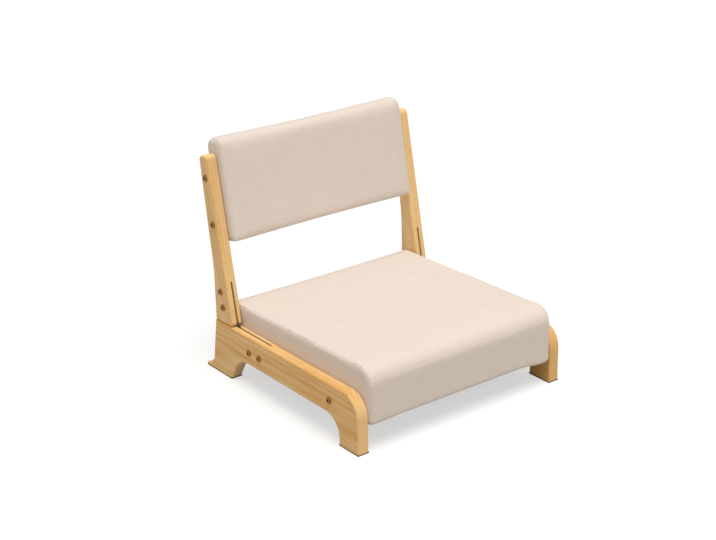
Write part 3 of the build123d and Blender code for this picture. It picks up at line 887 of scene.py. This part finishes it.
class FLOOR_CHAIR_OT_dust_cover(ChairOperator, bpy.types.Operator):
    """Finish the dust cloth under the seat, and staple it all round"""

    bl_idname = "floor_chair.dust_cover"
    bl_label = "Dust cover"

    def execute(self, context):
        finishes = context.scene.floor_chair_finishes
        cloth = matted_fibres(
            "spun_bonded_cloth", finishes.dust_cloth, (0.0012,) * 3, 0.4, 0.0003
        )
        dress(nodes["seat_dust_cover"], cloth)
        crown, wire, inset, pitch = 0.010, 0.0010, 0.006, 0.042
        lowest = dust_low.z - wire * 0.6
        staple = box_between(
            "staple", (-crown / 2, -wire / 2, lowest), (crown / 2, wire / 2, dust_low.z)
        )
        bpy.ops.object.mode_set(mode="EDIT")
        round_edges(
            staple, lambda edge: middle(edge).z < lowest + SAME, width=wire * 0.3, segments=2
        )
        bpy.ops.object.mode_set(mode="OBJECT")
        places = []
        left, right = dust_low.x + inset, dust_high.x - inset
        front, rear = dust_low.y + inset, dust_high.y - inset
        across = round((right - left) / pitch)
        along = round((rear - front) / pitch)
        for i in range(across):
            x = left + (i + 0.5) * (right - left) / across
            places += [(x, front, 0.0), (x, rear, 0.0)]
        for i in range(along):
            y = front + (i + 0.5) * (rear - front) / along
            places += [(left, y, pi / 2), (right, y, pi / 2)]
        copies = []
        for x, y, turn in places:
            copy = bpy.data.objects.new("staple_copy", staple.data.copy())
            context.collection.objects.link(copy)
            copy.data.transform(Matrix.Translation((x, y, 0)) @ Matrix.Rotation(turn, 4, "Z"))
            copies.append(copy)
        bpy.data.objects.remove(staple)
        bpy.ops.object.select_all(action="DESELECT")
        for copy in copies:
            copy.select_set(True)
        context.view_layer.objects.active = copies[0]
        bpy.ops.object.join()
        staples = context.object
        staples.name = "dust_cover_staples"
        staples.data.name = "dust_cover_staples"
        dress(staples, worn_metal("galvanised_wire", finishes.zinc, 0.36, 0.0004))
        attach(staples, "base")
        return {"FINISHED"}


class FLOOR_CHAIR_OT_stage(ChairOperator, bpy.types.Operator):
    """Set up the pale floor, the soft lamps and the camera"""

    bl_idname = "floor_chair.stage"
    bl_label = "Stage"

    def execute(self, context):
        stage = context.scene.floor_chair_stage
        self.lay_floor(stage)
        self.light(context, stage)
        self.place_camera(context, stage)
        context.scene.view_settings.view_transform = "Standard"
        return {"FINISHED"}

    def lay_floor(self, stage):
        """Lay a floor that the camera sees as near white and that throws back less light."""
        seen_paper, seen_lift = (0.46, 0.46, 0.46, 1), 0.58
        unseen_paper = (0.50, 0.49, 0.47, 1)
        bpy.ops.object.select_all(action="DESELECT")
        bpy.ops.mesh.primitive_plane_add(size=stage.floor_size)
        floor = bpy.context.object
        floor.name = "studio_floor"
        material, tree, shader = new_material("studio_paper")
        seen = is_ray(tree, "Is Camera Ray", "Is Glossy Ray")
        tint = add_node(
            tree, "ShaderNodeMix", {"data_type": "RGBA"},
            {MIX_A: unseen_paper, MIX_B: seen_paper}, {MIX_FACTOR: seen},
        )
        lift = add_node(
            tree, "ShaderNodeMath", {"operation": "MULTIPLY"}, {1: seen_lift}, {0: seen}
        )
        tree.links.new(tint.outputs[MIX_RESULT], shader.inputs["Base Color"])
        shader.inputs["Roughness"].default_value = 0.9
        shader.inputs["Specular IOR Level"].default_value = 0.0
        shader.inputs["Emission Color"].default_value = (1, 1, 1, 1)
        tree.links.new(lift.outputs["Value"], shader.inputs["Emission Strength"])
        dress(floor, material)

    def light(self, context, stage):
        """Light the chair with one large soft lamp and white walls that show as plain white."""
        lamp = bpy.data.lights.new("key", "SUN")
        lamp.energy = stage.key_strength
        lamp.angle = stage.key_softness
        key = bpy.data.objects.new("key", lamp)
        context.scene.collection.objects.link(key)
        key.rotation_mode = "QUATERNION"
        key.rotation_quaternion = Vector(stage.key_direction).to_track_quat("Z", "Y")
        world = context.scene.world or bpy.data.worlds.new("studio")
        context.scene.world = world
        world.use_nodes = True
        tree = world.node_tree
        seen = is_ray(tree, "Is Camera Ray", "Is Glossy Ray", "Is Transmission Ray")
        strength = add_node(
            tree, "ShaderNodeMapRange", None, {"To Min": stage.sky_strength, "To Max": 1.0},
            {"Value": seen},
        )
        background = tree.nodes["Background"]
        tint = add_node(
            tree, "ShaderNodeMix", {"data_type": "RGBA"},
            {MIX_A: stage.sky_tint, MIX_B: (1, 1, 1, 1)}, {MIX_FACTOR: seen},
        )
        tree.links.new(tint.outputs[MIX_RESULT], background.inputs["Color"])
        tree.links.new(strength.outputs["Result"], background.inputs["Strength"])

    def place_camera(self, context, stage):
        """Put the camera where the chair fills the picture as in the photograph."""
        east, up = stage.camera_azimuth, stage.camera_elevation
        behind = Vector((sin(east) * cos(up), -cos(east) * cos(up), sin(up)))
        right = Vector((cos(east), sin(east), 0))
        above = behind.cross(right)
        turn = Matrix((right, above, behind)).transposed().to_4x4()
        lens = bpy.data.cameras.new("camera")
        lens.lens = stage.focal_length
        lens.sensor_width = 36
        lens.clip_end = 100
        camera = bpy.data.objects.new("camera", lens)
        context.scene.collection.objects.link(camera)
        spot = Vector(stage.camera_target) + behind * stage.camera_distance
        roll = Matrix.Rotation(stage.camera_roll, 4, "Z")
        camera.matrix_world = Matrix.Translation(spot) @ turn @ roll
        context.scene.camera = camera


class FLOOR_CHAIR_PT_panel(bpy.types.Panel):
    """The chair's pieces, as buttons, with the values that they use"""

    bl_idname = "FLOOR_CHAIR_PT_panel"
    bl_label = "Folding Floor Chair"
    bl_space_type = "VIEW_3D"
    bl_region_type = "UI"
    bl_category = "Floor Chair"

    def draw(self, context):
        for step in STEPS:
            self.layout.operator(step.bl_idname)
        for group in (
            context.scene.floor_chair_cushions,
            context.scene.floor_chair_finishes,
            context.scene.floor_chair_stage,
        ):
            column = self.layout.column(align=True)
            for name in group.bl_rna.properties.keys():
                if name not in ("rna_type", "name"):
                    column.prop(group, name)


STEPS = (
    FLOOR_CHAIR_OT_timber,
    FLOOR_CHAIR_OT_hardware,
    FLOOR_CHAIR_OT_inner_parts,
    FLOOR_CHAIR_OT_seat_cushion,
    FLOOR_CHAIR_OT_back_cushion,
    FLOOR_CHAIR_OT_dust_cover,
    FLOOR_CHAIR_OT_stage,
)
GROUPS = {
    "floor_chair_cushions": FloorChairCushions,
    "floor_chair_finishes": FloorChairFinishes,
    "floor_chair_stage": FloorChairStage,
}


def register():
    for group in GROUPS.values():
        bpy.utils.register_class(group)
    for name, group in GROUPS.items():
        setattr(bpy.types.Scene, name, bpy.props.PointerProperty(type=group))
    for step in STEPS:
        bpy.utils.register_class(step)
    bpy.utils.register_class(FLOOR_CHAIR_PT_panel)


def unregister():
    bpy.utils.unregister_class(FLOOR_CHAIR_PT_panel)
    for step in reversed(STEPS):
        bpy.utils.unregister_class(step)
    for name in GROUPS:
        delattr(bpy.types.Scene, name)
    for group in reversed(GROUPS.values()):
        bpy.utils.unregister_class(group)


def main():
    register()
    bpy.ops.object.select_all(action="DESELECT")
    bpy.ops.floor_chair.timber()
    bpy.ops.floor_chair.hardware()
    bpy.ops.floor_chair.inner_parts()
    bpy.ops.floor_chair.seat_cushion()
    bpy.ops.floor_chair.back_cushion()
    bpy.ops.floor_chair.dust_cover()
    bpy.ops.floor_chair.stage()


if __name__ == "__main__":
    main()
